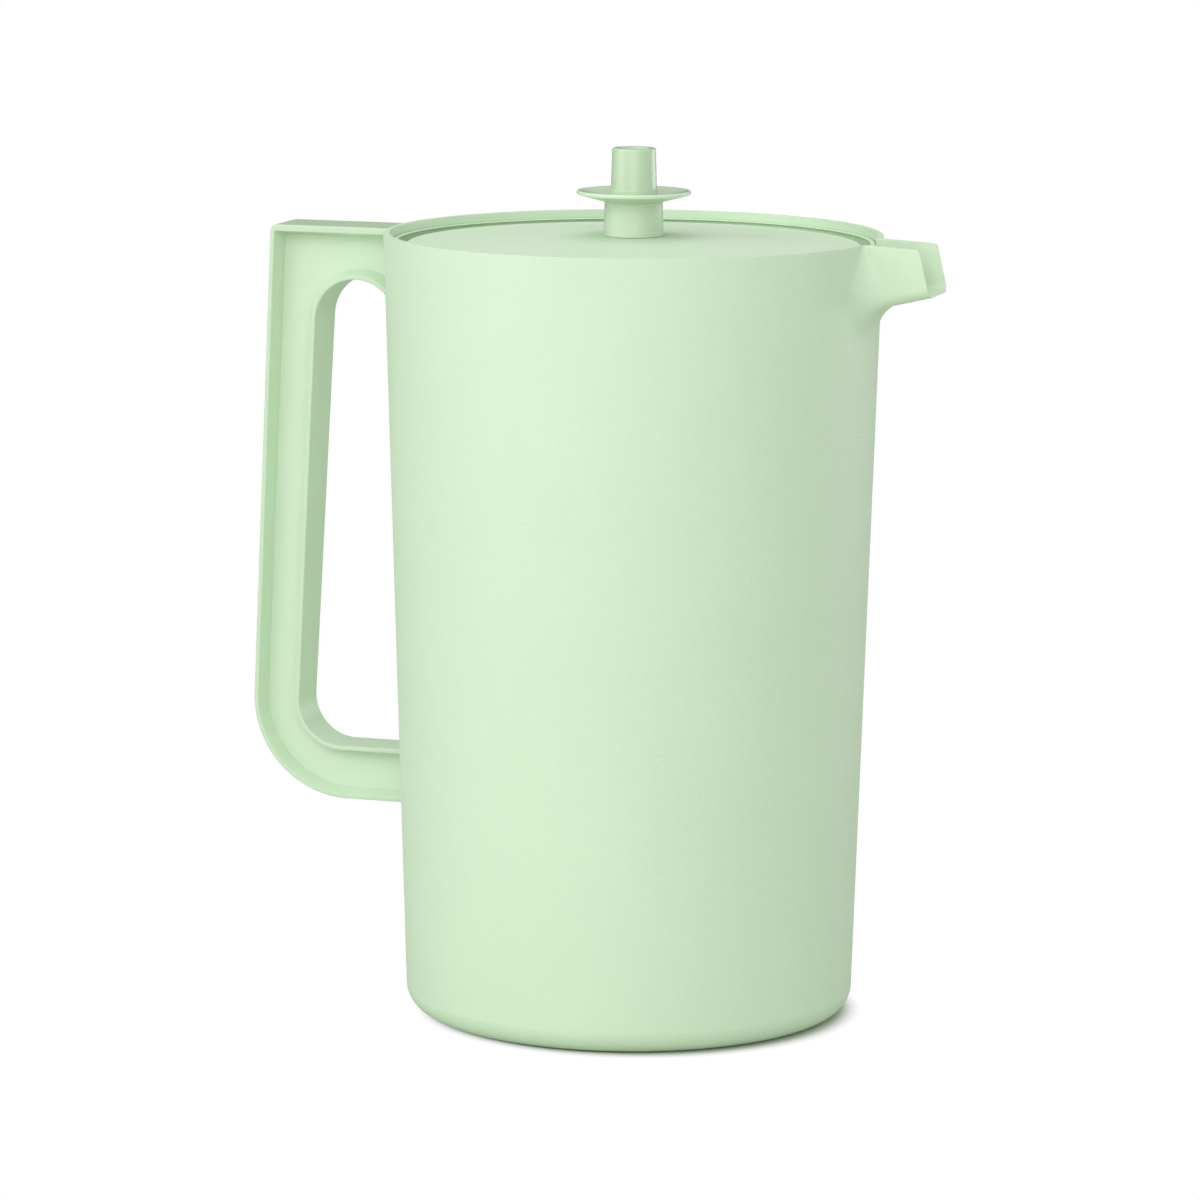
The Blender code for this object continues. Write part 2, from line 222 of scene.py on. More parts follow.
def plastic(name, color, rough, layers, specular=mirror["usual"]):
    material = bpy.data.materials.new(name)
    material.use_nodes = True
    nodes, links = material.node_tree.nodes, material.node_tree.links
    shader = nodes["Principled BSDF"]
    setInputs(shader, {"Metallic": 0, "IOR": finish["refraction"], "Specular IOR Level": specular})
    where = nodes.new("ShaderNodeTexCoord").outputs["Object"]

    drift = addNoise(nodes, links, where, finish["colorCells"], finish["colorDetail"])
    shades = nodes.new("ShaderNodeValToRGB")
    ends = ((finish["noiseLow"], 1 - finish["colorShift"]), (finish["noiseHigh"], 1 + finish["colorShift"]))
    for element, (position, level) in zip(shades.color_ramp.elements, ends):
        element.position = position
        element.color = (color[0] * level, color[1] * level, color[2] * level, 1)
    links.new(drift, shades.inputs["Fac"])
    links.new(shades.outputs["Color"], shader.inputs["Base Color"])

    patches = addNoise(nodes, links, where, finish["sheenCells"], finish["sheenDetail"])
    sheen = addRange(nodes, links, patches, (finish["noiseLow"], finish["noiseHigh"]),
                     (rough * (1 - finish["sheenShift"]), rough * (1 + finish["sheenShift"])), False)
    links.new(sheen, shader.inputs["Roughness"])

    normal = None
    for kind, scale, height, strength in layers:
        if kind == "pebble":
            cells = nodes.new("ShaderNodeTexVoronoi")
            cells.feature = "F1"
            cells.inputs["Scale"].default_value = scale
            links.new(where, cells.inputs["Vector"])
            relief = cells.outputs["Distance"]
        else:
            relief = addNoise(nodes, links, where, scale, finish["grainDetail"])
        bump = nodes.new("ShaderNodeBump")
        setInputs(bump, {"Strength": strength, "Distance": height})
        bump.invert = kind == "pebble"
        links.new(relief, bump.inputs["Height"])
        if normal:
            links.new(normal, bump.inputs["Normal"])
        normal = bump.outputs["Normal"]
    if normal:
        links.new(normal, shader.inputs["Normal"])
    return material


wallPlastic = plastic("grained wall", mint["wall"], roughness["wall"], grain["wall"])
insidePlastic = plastic("smooth bore", mint["inside"], roughness["inside"], grain["inside"])
handlePlastic = plastic("satin handle", mint["handle"], roughness["handle"], grain["handle"])
paintedShadeEdgePlastic = plastic("handle edges with painted shade", mint["handleEdge"], roughness["handleEdge"], grain["handle"])
paintedShadeTopPlastic = plastic("satin top plate with painted shade", mint["handleTop"], roughness["handleTop"], grain["handle"])
lidPlastic = plastic("sparked lid", mint["lid"], roughness["lid"], grain["lid"], mirror["lid"])
hubPlastic = plastic("sparked hub", mint["hub"], roughness["hub"], grain["hub"], mirror["hub"])
polishedShadePlastic = plastic("polished flange with painted shade", mint["flange"], roughness["flange"], grain["flange"])
buttonPlastic = plastic("polished button", mint["button"], roughness["button"], grain["button"],
                        mirror["button"])
sealPlastic = plastic("soft seal", mint["inside"], roughness["seal"], grain["seal"])
print("plastics ready")


# Cup and spout: one sheet, thickened inwards

cup = {
    "rimHeight": 0.2500,
    "rimRadius": 0.0791,
    "baseRadius": 0.0715,
    "baseRounding": 0.0080,
    "wall": 0.0020,
    "rimEdge": 0.0007,
    "edgeSegments": 4,
    "sharpAngle": math.radians(50),
    "columns": 240,
    "baseSteps": 14,
    "baseRings": (0.5, 0.85),                   # shares of the flat's radius
    "wallRings": (0.03, 0.07, 0.11, 0.15, 0.19),
}
spout = {
    "halfWidth": 0.0115,
    "topLength": 0.0172,
    "lipLength": 0.0205,
    "lipDrop": 0.0160,
    "topDrop": 0.0009,
    "floorRise": 0.24,        # the floor climbs this much for each unit towards the lip
    "cornerRadius": 0.0035,
    "noseRadius": 0.0010,     # where the top edge turns down into the mouth
    "filletAtRim": 0.0010,
    "filletAtFloor": 0.0120,
    "filletGrowth": 1.3,      # above 1 the fillet stays tight further down the side
    "lipWallShare": 0.42,
    "thinning": 0.0048,       # the wall thins over this length, which levels the floor inside
    "windowMargin": 0.0050,
    "sideRows": 18,
    "sideSpacing": 1.6,       # above 1 the rows crowd towards the rim
    "blendSteps": 3,
    "filletSteps": 10,
    "filletRounds": 30,       # the search for a fillet's centre has settled by then
    "runRows": (0.3, 0.6, 0.85),
}
taperSlope = (cup["rimRadius"] - cup["baseRadius"]) / cup["rimHeight"]
taper = math.atan(taperSlope)
lipReach = cup["rimRadius"] + spout["lipLength"]
lipHeight = cup["rimHeight"] - spout["lipDrop"]
floorAtWall = lipHeight - spout["floorRise"] * spout["lipLength"]
windowFoot = floorAtWall - spout["filletAtFloor"] - spout["windowMargin"]
columnAngle = math.tau / cup["columns"]
windowSpread = (spout["halfWidth"] + spout["filletAtFloor"]) / (cup["baseRadius"] + spout["filletAtFloor"])
windowColumns = math.ceil(math.asin(windowSpread) / columnAngle) + 1
sideShares = [(row / spout["sideRows"]) ** spout["sideSpacing"] for row in range(spout["sideRows"] + 1)]


def wallRadius(z):
    return cup["baseRadius"] + taperSlope * z


def onWall(z, angle):
    return Vector((wallRadius(z) * math.cos(angle), wallRadius(z) * math.sin(angle), z))


def spoutPoint(turnOff, reach):
    # turnOff is (y, share of the way down the side, drop into the corner)
    y, side, cornerDrop = turnOff
    top = cup["rimHeight"] - spout["topDrop"] * (reach - cup["rimRadius"]) / spout["topLength"]
    floor = lipHeight - spout["floorRise"] * (lipReach - reach)
    return Vector((reach, y, mix(top, floor + spout["cornerRadius"], side) - cornerDrop))


def spoutSection():
    # half of the trough's section, from its top edge to the middle of its floor
    section = []
    for share in sideShares:
        growth = math.sin(share * math.pi / 2) ** spout["filletGrowth"]
        fillet = mix(spout["filletAtRim"], spout["filletAtFloor"], growth)
        section.append(((spout["halfWidth"], share, 0), Vector((0, 1, 0)), fillet))
    flat = spout["halfWidth"] - spout["cornerRadius"]
    steps = windowColumns - 1
    for step in range(1, steps + 1):
        angle = math.pi / 2 * step / steps
        turnOff = (flat + spout["cornerRadius"] * math.cos(angle), 1, spout["cornerRadius"] * math.sin(angle))
        section.append((turnOff, Vector((0, math.cos(angle), -math.sin(angle))), spout["filletAtFloor"]))
    section.append(((0, 1, spout["cornerRadius"]), Vector((0, 0, -1)), spout["filletAtFloor"]))
    return section


def filletPoints(turnOff, facing, fillet):
    # the arc that is tangent to the trough's straight line and to the tapered wall
    reach = cup["rimRadius"]
    along = (spoutPoint(turnOff, lipReach) - spoutPoint(turnOff, reach)).normalized()
    normal = (facing - along * facing.dot(along)).normalized()
    for _ in range(spout["filletRounds"]):
        centre = spoutPoint(turnOff, reach) + normal * fillet
        reach += fillet / math.cos(taper) - math.hypot(centre.x, centre.y) + wallRadius(centre.z)
    centre = spoutPoint(turnOff, reach) + normal * fillet
    outwards = Vector((centre.x, centre.y, 0)).normalized()
    wallNormal = outwards * math.cos(taper) - Vector((0, 0, math.sin(taper)))
    steps = spout["filletSteps"]
    return [centre + (-wallNormal).slerp(-normal, step / steps) * fillet for step in range(steps + 1)]


def mouthPoint(turnOff):
    top = cup["rimHeight"] - spout["topDrop"]
    topReach = cup["rimRadius"] + spout["topLength"]
    drop = top - spoutPoint(turnOff, topReach).z
    reach = mix(topReach, lipReach, drop / (top - lipHeight))
    if drop < spout["noseRadius"]:
        reach -= spout["noseRadius"] - math.sqrt(spout["noseRadius"] ** 2 - (spout["noseRadius"] - drop) ** 2)
    return spoutPoint(turnOff, reach)


def spoutColumns():
    # one line of points for each step round the trough, from the window in the wall to the mouth
    columns = []
    for index, (turnOff, facing, fillet) in enumerate(spoutSection()):
        side = min(index, spout["sideRows"])
        angle = (windowColumns - (index - side)) * columnAngle
        z = mix(cup["rimHeight"], windowFoot, sideShares[side])
        curve = filletPoints(turnOff, facing, fillet)
        foot = math.atan2(curve[0].y, curve[0].x)
        points = []
        for step in range(spout["blendSteps"]):
            share = step / spout["blendSteps"]
            points.append(onWall(mix(z, curve[0].z, share), mix(angle, foot, share)))
        end = mouthPoint(turnOff)
        run = [curve[-1].lerp(end, share) for share in spout["runRows"]]
        columns.append(points + curve + run + [end])
    mirrored = [[Vector((p.x, -p.y, p.z)) for p in column] for column in reversed(columns[:-1])]
    return columns + mirrored


def inWindow(face):
    middle = face.calc_center_median()
    return middle.z > windowFoot and abs(math.atan2(middle.y, middle.x)) < windowColumns * columnAngle


def buildCup():
    radius = cup["baseRounding"]
    centre = wallRadius(radius) - radius / math.cos(taper)
    profile = [(0, 0)] + [(centre * share, 0) for share in cup["baseRings"]]
    profile += arcPoints((centre, radius), radius, -math.pi / 2, -taper, cup["baseSteps"])
    heights = [mix(cup["rimHeight"], windowFoot, share) for share in reversed(sideShares)]
    profile += [(wallRadius(z), z) for z in [*cup["wallRings"], *heights]]
    bm = turn(profile, cup["columns"], False)
    bmesh.ops.delete(bm, geom=[face for face in bm.faces if inWindow(face)], context="FACES")
    rows = list(zip(*spoutColumns()))
    edges = addLine(bm, rows[0])[1]
    for row in rows[1:]:
        verts, nextEdges = addLine(bm, row)
        bmesh.ops.bridge_loops(bm, edges=edges + nextEdges)
        edges = nextEdges
    mouth = [vert.co.copy() for vert in verts]
    bmesh.ops.remove_doubles(bm, verts=bm.verts, dist=weld)
    bmesh.ops.recalc_face_normals(bm, faces=bm.faces)
    if min(bm.faces, key=lambda face: face.calc_center_median().z).normal.z > 0:
        bmesh.ops.reverse_faces(bm, faces=bm.faces)
    piece = makePiece("cup", bm, [wallPlastic, insidePlastic], "pitcher", "pitcher_body")
    full = piece.vertex_groups.new(name="full wall")
    for vert in piece.data.vertices:
        away = min((vert.co - point).length for point in mouth)
        full.add([vert.index], min(1, away / spout["thinning"]), "REPLACE")
    wall = piece.modifiers.new("wall", "SOLIDIFY")
    wall.thickness = cup["wall"]
    wall.offset = -1
    wall.use_even_offset = True
    wall.use_quality_normals = True
    wall.vertex_group = "full wall"
    wall.thickness_vertex_group = spout["lipWallShare"]
    wall.material_offset = 1
    edge = piece.modifiers.new("rim edge", "BEVEL")
    edge.limit_method = "ANGLE"
    edge.angle_limit = cup["sharpAngle"]
    edge.width = cup["rimEdge"]
    edge.segments = cup["edgeSegments"]
    evenNormals(piece)


# Handle: an I-section that bends round the hand

handle = {
    "topDrop": 0.0005,
    "height": 0.1867,
    "length": 0.0402,
    "spread": 0.0445,
    "outerCorner": 0.0320,
    "topCorner": 0.0020,
    "halfWidthTop": 0.00965,
    "halfWidthBottom": 0.0078,
    "gripDepthTop": 0.0167,
    "gripDepthBottom": 0.0155,
    "armDepth": 0.0174,
    "innerCorner": 0.0140,
    "archRadius": 0.0137,
    "crownDrop": 0.0174,
    "archTurn": math.radians(147),
    "flangeEdge": 0.0015,
    "topPlateExtra": 0.0007,  # the plate on top is thicker than the flanges by this much
    "plateZone": 0.0035,      # points from this depth up to plateSkin form the plate's underside
    "plateSkin": 0.0004,
    "plateFace": 0.0003,      # faces above this depth have the top's plastic
    "flangeDraft": 0.0014,
    "web": 0.0056,
    "edgeRounding": 0.00072,
    "webFillet": 0.0034,
    "rootFillet": 0.0013,
    "rootDepth": 0.0012,
    "rootCuts": 8,
    "rootMargin": 0.0002,
    "rootInside": 0.0008,
    "overrun": 0.0120,
    "sharpAngle": math.radians(40),
    "outerSteps": 28,
    "innerSteps": 18,
    "filletSegments": 6,
    "edgeSegments": 3,
}
handleTop = cup["rimHeight"] - handle["topDrop"]
handleBottom = handleTop - handle["height"]


def gripFront(z):
    return cup["rimRadius"] + handle["length"] + handle["spread"] * (handleTop - z)


def gripBack(z):
    share = (handleTop - z) / handle["height"]
    return gripFront(z) - mix(handle["gripDepthTop"], handle["gripDepthBottom"], share)


def bend(line, radius, z, start, end, steps):
    # an arc that is tangent to one of the grip's two leaning lines
    centre = line(z) - radius / math.cos(math.atan(handle["spread"]))
    return arcPoints((centre, z), radius, start, end, steps)


def handleOutline():
    deep = cup["baseRadius"] - handle["overrun"]
    lean = math.atan(handle["spread"])
    down = -math.pi / 2
    armTop = handleBottom + handle["armDepth"]
    arch = cup["rimHeight"] - handle["crownDrop"] - handle["archRadius"]
    outer, inner = handle["outerCorner"], handle["innerCorner"]
    points = [(deep, handleTop), (gripFront(handleTop), handleTop)]
    points += bend(gripFront, outer, handleBottom + outer, lean, down, handle["outerSteps"])
    points += [(deep, handleBottom), (deep, armTop)]
    points += bend(gripBack, inner, armTop + inner, down, lean, handle["innerSteps"])
    points += bend(gripBack, handle["archRadius"], arch, lean, handle["archTurn"], handle["outerSteps"])
    points.append((deep, points[-1][1]))
    return points


def narrowing(z):
    # the handle's width at a height, as a share of its width at the top
    return mix(1, handle["halfWidthBottom"] / handle["halfWidthTop"], (handleTop - z) / handle["height"])


def sharpEdges(bm, wanted):
    return [edge for edge in bm.edges if edge.is_manifold
            and edge.calc_face_angle() > handle["sharpAngle"] and wanted(edge)]


def roundEdges(bm, edges, offset, segments):
    bmesh.ops.bevel(bm, geom=edges, offset=offset, offset_type="OFFSET", segments=segments, profile=0.5,
                    affect="EDGES", clamp_overlap=True, material=-1)


def cutAlongWall(bm, outwards, facing, clear):
    # cuts the handle parallel to the wall; clear takes away what lies inside the cut
    bmesh.ops.bisect_plane(bm, geom=bm.verts[:] + bm.edges[:] + bm.faces[:],
                           plane_co=(-cup["baseRadius"] - outwards, 0, 0), plane_no=facing, clear_outer=clear)


def growRoot(bm):
    # widens the handle where it meets the wall, as a fillet does
    fillet = handle["rootFillet"]
    bm.normal_update()
    moves = []
    for vert in bm.verts:
        away = math.hypot(vert.co.x, vert.co.y) - wallRadius(vert.co.z)
        if away < fillet:
            left = fillet - max(away, 0)
            grow = fillet - math.sqrt(fillet ** 2 - left ** 2)
            moves.append((vert, Vector((0, vert.normal.y, min(vert.normal.z, 0))) * grow))
    for vert, move in moves:
        vert.co += move


def buildHandle():
    bm = bmesh.new()
    half = handle["halfWidthTop"]
    verts = addLine(bm, [(-reach, -half, z) for reach, z in handleOutline()], True)[0]
    corner = verts[1].co.copy()
    grown = bmesh.ops.extrude_face_region(bm, geom=[bm.faces.new(verts)])["geom"]
    bmesh.ops.translate(bm, verts=[item for item in grown if isinstance(item, bmesh.types.BMVert)],
                        vec=(0, half * 2, 0))
    bmesh.ops.recalc_face_normals(bm, faces=bm.faces)
    for face in [face for face in bm.faces if abs(face.normal.y) > 0.99]:
        bmesh.ops.inset_region(bm, faces=[face], thickness=handle["flangeEdge"], use_even_offset=True)
        bmesh.ops.inset_region(bm, faces=[face], thickness=handle["flangeDraft"],
                               depth=handle["web"] / 2 - half, use_even_offset=True)

    for vert in bm.verts:
        if handleTop - handle["plateZone"] < vert.co.z < handleTop - handle["plateSkin"]:
            vert.co.z -= handle["topPlateExtra"]

    def atCorner(edge):
        return all(math.dist((v.co.x, v.co.z), (corner.x, corner.z)) < weld for v in edge.verts)

    def onWeb(edge):
        return all(abs(abs(v.co.y) - handle["web"] / 2) < weld for v in edge.verts)

    def onSide(edge):
        return all(abs(abs(v.co.y) - half) < weld for v in edge.verts)

    segments = handle["filletSegments"]
    roundEdges(bm, [edge for edge in bm.edges if atCorner(edge)], handle["topCorner"], segments)
    roundEdges(bm, sharpEdges(bm, onWeb), handle["webFillet"], segments)
    roundEdges(bm, sharpEdges(bm, onSide), handle["edgeRounding"], handle["edgeSegments"])
    for vert in bm.verts:
        vert.co.y *= narrowing(vert.co.z)

    # cuts near the wall carry the fillet, then the part inside the wall goes
    facing = Vector((math.cos(taper), 0, math.sin(taper)))
    outermost = handle["rootFillet"] + handle["rootMargin"]
    for step in range(handle["rootCuts"] + 1):
        cutAlongWall(bm, mix(-handle["rootInside"], outermost, step / handle["rootCuts"]), facing, False)
    growRoot(bm)
    cutAlongWall(bm, -handle["rootDepth"], facing, True)
    bmesh.ops.holes_fill(bm, edges=[edge for edge in bm.edges if edge.is_boundary])
    bmesh.ops.recalc_face_normals(bm, faces=bm.faces)
    for face in bm.faces:
        middle = face.calc_center_median()
        # the top plate gets a darker copy of the handle's plastic, which is painted shade
        if face.normal.z > 0.9 and middle.z > handleTop - handle["plateFace"]:
            face.material_index = 1
        # the flanges' outer edges get a darker copy of the handle's plastic, also painted shade
        elif abs(middle.y) > half * narrowing(middle.z) - handle["edgeRounding"]:
            face.material_index = 2
    materials = [handlePlastic, paintedShadeTopPlastic, paintedShadeEdgePlastic]
    piece = makePiece("handle", bm, materials, "pitcher", None)
    evenNormals(piece)


# Lid: cover, finger grip, push button and diaphragm, each a turned profile

rounding = {
    "crisp": 0.0001,
    "fine": 0.0002,
    "soft": 0.0003,
    "full": 0.0004,
}
lid = {
    "rimDrop": 0.0034,
    "coneRise": 0.0026,
    "thickness": 0.0019,
    "edgeRounding": 0.0011,
    "grooveWidth": 0.0042,    # how far the cover's edge stands in from the skirt
    "grooveDepth": 0.0065,
    "lipRise": 0.0008,        # the skirt's own edge, rolled inwards over the groove
    "lipReach": 0.0017,
    "lipWall": 0.0003,
    "skirtGap": 0.0004,
    "skirtDepth": 0.0278,
    "skirtWall": 0.0015,
    "seatDrop": 0.0106,
    "footRounding": 0.0006,
    "innerRounding": 0.0008,
    "snap": 0.0005,
    "arcSteps": 6,
    "turns": 192,
}
grip = {
    "gap": 0.0003,
    "footGap": 0.00008,
    "footRadius": 0.0095,
    "neckRadius": 0.0092,
    "hubRise": 0.0108,
    "flangeRadius": 0.0181,
    "flangeSweep": 0.0024,
    "flangeEdge": 0.0013,
    "edgeShare": 0.48,        # the edge's rounding, as a share of its thickness
    # the lighter satin plastic on the rim is a painted highlight
    "rimShare": 0.6,          # how far in from the rim the satin plastic reaches, as such a share
    "dishRise": 0.0013,
    "dishTurn": 0.12,         # the dish starts to climb at this share of the way out to the edge
    "dishClimb": 0.03,        # and has climbed this share of the way up by then
    "dishRounding": 0.0006,
    "neckRounding": 0.0009,
    "tailWall": 0.0008,
    "snapHeight": 0.0021,
    "arcSteps": 6,
    "turns": 128,
}
button = {
    "capHeight": 0.0130,
    "stepRise": 0.0027,
    "topRadius": 0.0069,
    "stepRadius": 0.00727,
    "shaftRadius": 0.0075,
    "rounding": 0.0006,
    "stepRounding": 0.00018,
    "hollowRounding": 0.0005,
    "dishRadius": 0.0048,
    "dishDepth": 0.0010,
    "polishMargin": 0.0001,   # the polish reaches this far below the dish's floor
    "wall": 0.0015,
    "crown": 0.0016,
    "stopWidth": 0.0013,
    "stopHeight": 0.0014,
    "stemRadius": 0.0036,
    "pinRadius": 0.0024,
    "barbWidth": 0.0008,
    "barbHeight": 0.0030,
    "barbTip": 0.0012,
    "arcSteps": 6,
    "turns": 128,
}
seal = {
    "rimHeight": 0.0016,
    "rimWidth": 0.0018,
    "web": 0.0010,
    "fall": 0.0080,
    "wave": 0.0012,           # one soft roll near the rim, so that the middle can travel
    "waveStart": 0.12,
    "waveLength": 0.5,
    "steps": 40,
    "bossRadius": 0.0060,
    "bossHeight": 0.0032,
    "arcSteps": 4,
    "turns": 128,
}
lidEdge = cup["rimHeight"] - lid["rimDrop"]
lidHub = lidEdge + lid["coneRise"]
skirtFoot = lidEdge - lid["skirtDepth"]
seat = lidEdge - lid["seatDrop"]
flangeHeight = lidHub + grip["hubRise"]
dishHeight = flangeHeight + grip["dishRise"]
holeRadius = button["shaftRadius"] + grip["gap"]
tailRadius = holeRadius + grip["tailWall"]
snapTop = lidHub - lid["thickness"] - grip["gap"]
tailFoot = snapTop - grip["snapHeight"]
stepHeight = dishHeight + button["stepRise"]
buttonTop = stepHeight + button["capHeight"]
sealTop = seat - grip["gap"]
bossTop = sealTop - seal["fall"] + (seal["bossHeight"] - seal["rimHeight"]) / 2
bossFoot = bossTop - seal["bossHeight"]


def skirtOutside(z):
    return wallRadius(z) - cup["wall"] - lid["skirtGap"]


def skirtInside(z):
    return skirtOutside(z) - lid["skirtWall"]


def buildLid():
    holeEdge = tailRadius + grip["gap"]
    underEdge = lidEdge - lid["thickness"]
    snapHigh = sealTop - seal["rimHeight"] - grip["gap"]
    snapMiddle = snapHigh - lid["snap"]
    snapLow = snapMiddle - lid["snap"]
    coneRadius = skirtOutside(lidEdge) - lid["grooveWidth"]
    coneInside = coneRadius - lid["skirtWall"]
    grooveFoot = lidEdge - lid["grooveDepth"]
    lipTop = lidEdge + lid["lipRise"]
    lipFoot = lipTop - lid["lipWall"]
    lipTip = skirtOutside(lipTop) - lid["lipReach"]
    corners = [
        (holeEdge, lidHub, rounding["fine"]),
        (mix(holeEdge, coneRadius, 0.5), mix(lidHub, lidEdge, 0.5), 0),
        (coneRadius, lidEdge, lid["edgeRounding"]),
        (coneRadius, grooveFoot, rounding["full"]),
        (skirtOutside(grooveFoot) - lid["lipWall"] * 2, grooveFoot, rounding["full"]),
        (skirtOutside(lipFoot) - lid["lipWall"], lipFoot, rounding["soft"]),
        (lipTip, lipFoot, lid["lipWall"] / 2),
        (lipTip, lipTop, lid["lipWall"] / 2),
        (skirtOutside(lipTop), lipTop, rounding["full"]),
        (skirtOutside(skirtFoot), skirtFoot, lid["footRounding"]),
        (skirtInside(skirtFoot), skirtFoot, lid["footRounding"]),
        (skirtInside(snapLow), snapLow, rounding["soft"]),
        (skirtInside(snapMiddle) - lid["snap"], snapMiddle, rounding["fine"]),
        (skirtInside(snapHigh), snapHigh, rounding["fine"]),
        (skirtInside(seat), seat, rounding["crisp"]),
        (coneInside, seat, rounding["fine"]),
        (coneInside, underEdge, lid["innerRounding"]),
        (holeEdge, lidHub - lid["thickness"], rounding["fine"]),
    ]
    bm = turn(roundedProfile(corners, True, lid["arcSteps"]), lid["turns"], True)
    piece = makePiece("lid_cover_skin", bm, [lidPlastic], "lid", "lid_cover")
    evenNormals(piece)


def buildGrip():
    edge = grip["flangeEdge"]
    outer = grip["flangeRadius"]
    underside = flangeHeight + grip["flangeSweep"]
    shoulder = lidHub + grip["footGap"]
    climbRadius = mix(holeRadius, outer, grip["dishTurn"])
    climbHeight = mix(dishHeight, underside + edge, grip["dishClimb"])
    corners = [
        (holeRadius, tailFoot, rounding["fine"]),
        (tailRadius, tailFoot, rounding["fine"]),
        (grip["footRadius"], mix(tailFoot, snapTop, 0.5), rounding["fine"]),
        (grip["footRadius"], snapTop, rounding["crisp"]),
        (tailRadius, snapTop, 0),
        (tailRadius, shoulder, 0),
        (grip["footRadius"], shoulder, rounding["fine"]),
        (grip["neckRadius"], flangeHeight, grip["neckRounding"]),
        (outer, underside, edge * grip["edgeShare"]),
        (outer, underside + edge, edge * grip["edgeShare"]),
        (climbRadius, climbHeight, grip["dishRounding"]),
        (holeRadius, dishHeight, rounding["soft"]),
    ]
    bm = turn(roundedProfile(corners, True, grip["arcSteps"]), grip["turns"], True)
    # the flange's top and underside get the darker polished plastic, which is painted shade
    for face in bm.faces:
        middle = face.calc_center_median()
        away = math.hypot(middle.x, middle.y)
        onHub = middle.z < flangeHeight and away > tailRadius
        # the rim gets the handle's lighter satin plastic, a painted highlight
        onRim = away > outer - edge * grip["rimShare"]
        face.material_index = 0 if onHub else 2 if onRim else 1
    materials = [hubPlastic, polishedShadePlastic, handlePlastic]
    piece = makePiece("grip", bm, materials, "lid", "finger_grip")
    evenNormals(piece)


def buildButton():
    stopTop = tailFoot - grip["gap"]
    stopFoot = stopTop - button["stopHeight"]
    stopRadius = button["shaftRadius"] + button["stopWidth"]
    barbTop = bossFoot - grip["gap"]
    pinTop = bossTop + grip["gap"]
    hollow = button["shaftRadius"] - button["wall"]
    dishFloor = buttonTop - button["dishDepth"]
    hollowTop = dishFloor - button["crown"]
    barbFoot = barbTop - button["barbHeight"]
    corners = [
        (0, barbFoot, 0),
        (button["barbTip"], barbFoot, rounding["soft"]),
        (button["pinRadius"] + button["barbWidth"], barbTop, rounding["fine"]),
        (button["pinRadius"], barbTop, 0),
        (button["pinRadius"], pinTop, 0),
        (button["stemRadius"], pinTop, rounding["fine"]),
        (button["stemRadius"], hollowTop, button["hollowRounding"]),
        (hollow, hollowTop, button["hollowRounding"]),
        (hollow, stopFoot, rounding["fine"]),
        (stopRadius, stopFoot, rounding["fine"]),
        (stopRadius, stopTop, rounding["fine"]),
        (button["shaftRadius"], stopTop, 0),
        (button["shaftRadius"], stepHeight, button["stepRounding"]),
        (button["stepRadius"], stepHeight, 0),
        (button["topRadius"], buttonTop, button["rounding"]),
        (button["dishRadius"], buttonTop, rounding["soft"]),
        (button["dishRadius"] - button["rounding"], dishFloor, rounding["full"]),
        (0, dishFloor, 0),
    ]
    bm = turn(roundedProfile(corners, False, button["arcSteps"]), button["turns"], False)
    for face in bm.faces:
        # the dish and the ring round it are polished like the flange and share its darker colour, which is
        # painted shade
        if face.normal.z > 0.5 and face.calc_center_median().z > dishFloor - button["polishMargin"]:
            face.material_index = 1
    piece = makePiece("button", bm, [buttonPlastic, polishedShadePlastic], "button", "push_button")
    evenNormals(piece)


def buildSeal():
    outer = skirtInside(seat) - grip["gap"]
    foot = sealTop - seal["rimHeight"]
    inner = outer - seal["rimWidth"]
    middle = (sealTop + foot) / 2
    hole = button["pinRadius"] + grip["gap"]
    web = []
    for step in range(seal["steps"] + 1):
        share = step / seal["steps"]
        along = min(1, max(0, (share - seal["waveStart"]) / seal["waveLength"]))
        lift = seal["wave"] * math.sin(math.pi * along) ** 2
        web.append((mix(inner, seal["bossRadius"], share), middle - seal["fall"] * share + lift))
    corners = [(outer, foot, rounding["fine"]), (outer, sealTop, rounding["fine"]),
               (inner, sealTop, rounding["soft"])]
    corners += [(r, z + seal["web"] / 2, 0) for r, z in web]
    corners += [(seal["bossRadius"], bossTop, rounding["full"]), (hole, bossTop, rounding["fine"]),
                (hole, bossFoot, rounding["fine"]), (seal["bossRadius"], bossFoot, rounding["full"])]
    corners += [(r, z - seal["web"] / 2, 0) for r, z in reversed(web)]
    corners.append((inner, foot, rounding["soft"]))
    bm = turn(roundedProfile(corners, True, seal["arcSteps"]), seal["turns"], True)
    piece = makePiece("diaphragm", bm, [sealPlastic], None, "lid_diaphragm")
    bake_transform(piece)


buildCup()
buildHandle()
buildLid()
buildGrip()
buildButton()
buildSeal()


# Floor, lamps and camera

studio = {
    "cameraTurn": math.radians(17.51),
    "cameraAway": 1.80577,
    "cameraHeight": 0.42983,
    "yaw": -0.00552,
    "pitch": 0.16333,
    "roll": 0.00548,
    "lens": 171.70,
    "sensor": 36,
    "aimHeight": 0.14,
    "worldLevel": 0.59,
    "worldLow": 0.06,         # low behind the object, where flat tops reflect it
    "lowTurn": (0.0, 0.5),    # the low level comes in over this much of the turn to the back
    "lowRise": (0.12, 0.30),  # and ends over this much of the climb
    "leftPower": 5.7,
    "frontPower": 6.1,
    "keyPower": 4.0,
    "topPower": 4.2,
    "stripPower": 2.6,
}
ground = {
    "radius": 3,
    "segments": 96,
    "drop": 0.0001,
    # the floor's green tint is painted bounce light from the plastic, seen only in the shadow near the object
    "color": (0.63, 0.67, 0.59, 1),
    "shadowCentre": (0.0035, -0.0010, 0),
    "shadowFade": (0.0640, 0.0725),             # past this radius the camera sees plain white
}
